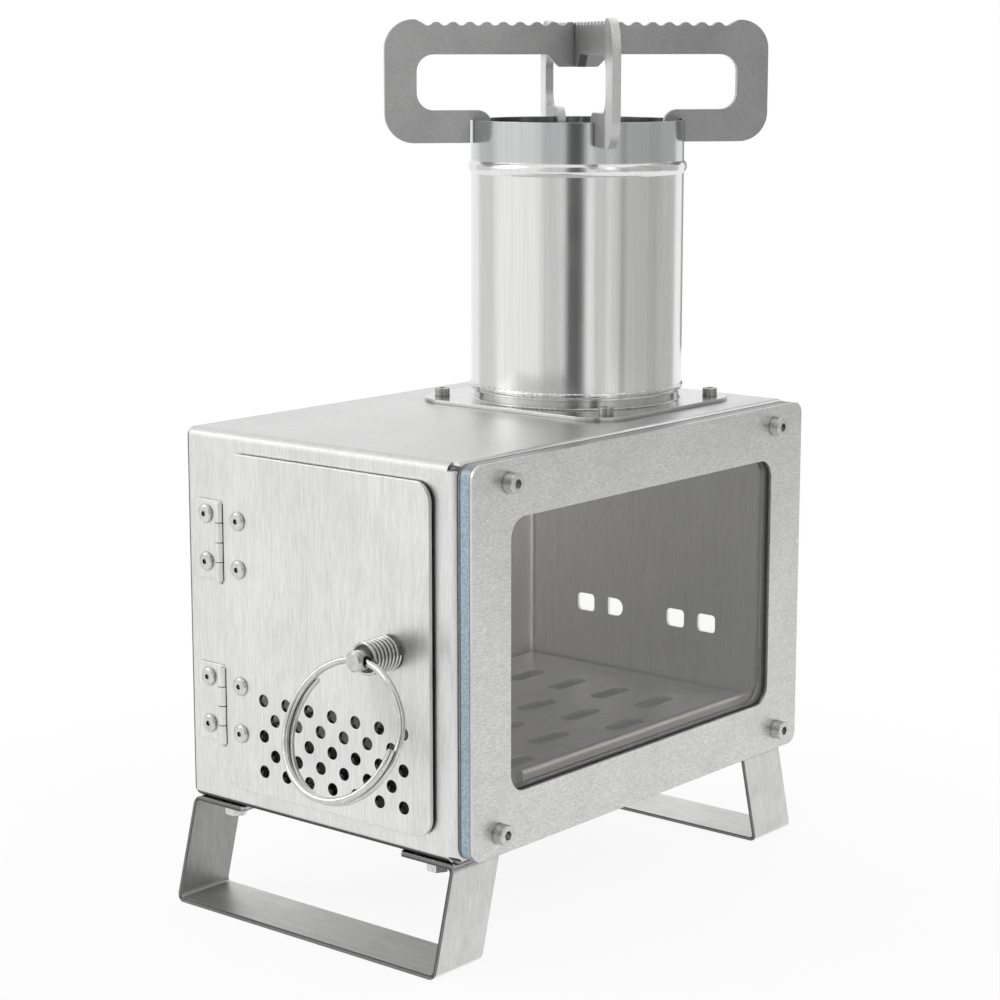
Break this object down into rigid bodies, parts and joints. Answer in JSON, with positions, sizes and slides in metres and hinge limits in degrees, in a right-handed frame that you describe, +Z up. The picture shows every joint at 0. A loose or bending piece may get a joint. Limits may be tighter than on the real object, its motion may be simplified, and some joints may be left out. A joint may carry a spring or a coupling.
{
  "type": "tabletop wood stove",
  "caption": "Folded-sheet tabletop wood stove with hinged vented door, sprung latch, glass side, short flue pipe, crossed-plate pot stand and bent strip feet.",
  "frame": {"origin": "on the ground, in the middle of the whole stove's outer box", "axes": "+Z up, the door faces -Y and the glass side faces +X"},
  "size_m": [0.1362, 0.2384, 0.3109],
  "materials": {
    "sheet_steel": "brushed stainless sheet",
    "thick_steel": "matt tumbled stainless plate",
    "pipe_steel": "bright polished stainless tube",
    "fastener_steel": "satin stainless fasteners",
    "rivet_metal": "satin aluminium rivets",
    "bright_wire": "bright nickel-plated wire",
    "clear_glass": "clear heat-proof glass",
    "gasket": "black fibre gasket"
  },
  "bodies": {
    "stove": {"firebox_shell": "sheet_steel", "glass_gasket": "gasket", "window_glass": "clear_glass", "window_frame": "sheet_steel", "window_screws": "fastener_steel", "window_nuts": "fastener_steel", "fire_grate": "sheet_steel", "grate_legs": "sheet_steel", "grate_guard": "sheet_steel", "flue_flange": "pipe_steel", "flange_screws": "fastener_steel", "flange_nuts": "fastener_steel", "front_foot": "thick_steel", "rear_foot": "thick_steel", "foot_bolts": "fastener_steel", "foot_nuts": "fastener_steel", "hinge_upper_fixed_leaf": "sheet_steel", "hinge_upper_pin": "fastener_steel", "hinge_lower_fixed_leaf": "sheet_steel", "hinge_lower_pin": "fastener_steel", "fixed_leaf_rivets": "rivet_metal"},
    "door": {"door_panel": "sheet_steel", "hinge_upper_door_leaf": "sheet_steel", "hinge_lower_door_leaf": "sheet_steel", "door_leaf_rivets": "rivet_metal"},
    "latch_plunger": {"latch_spring": "bright_wire"},
    "latch": {"latch_pin": "fastener_steel", "latch_tongue": "sheet_steel", "latch_nut": "fastener_steel"},
    "ring": {"pull_ring": "bright_wire"},
    "pipe": {"chimney_pipe": "pipe_steel"},
    "lower_plate": {"pot_stand_lower_plate": "thick_steel"},
    "upper_plate": {"pot_stand_upper_plate": "thick_steel"}
  },
  "joints": [
    {"name": "door_hinge", "type": "hinge", "parent": "stove", "child": "door", "pos_m": [-0.04885, -0.08409, 0.103], "axis": [0, 0, -1], "range_deg": [0, 150]},
    {"name": "latch_push", "type": "slide", "parent": "door", "child": "latch_plunger", "axis": [0, 1, 0], "range_m": [0, 0.0035], "stiffness_N_per_m": 600, "springref_m": -0.002, "deforming": ["latch_spring"]},
    {"name": "latch_turn", "type": "hinge", "parent": "latch_plunger", "child": "latch", "pos_m": [0.0306, -0.08209, 0.1058], "axis": [0, 1, 0], "range_deg": [0, 90]},
    {"name": "ring_swing", "type": "hinge", "parent": "latch", "child": "ring", "pos_m": [0.0306, -0.09909, 0.1058], "axis": [-1, 0, 0], "range_deg": [-32, 142]},
    {"name": "pipe_lift", "type": "slide", "parent": "stove", "child": "pipe", "axis": [0, 0, 1], "range_m": [0, 0.04]},
    {"name": "lower_plate_lift", "type": "slide", "parent": "pipe", "child": "lower_plate", "axis": [0, 0, 1], "range_m": [0, 0.03]},
    {"name": "upper_plate_lift", "type": "slide", "parent": "lower_plate", "child": "upper_plate", "axis": [0, 0, 1], "range_m": [0, 0.03]}
  ]
}
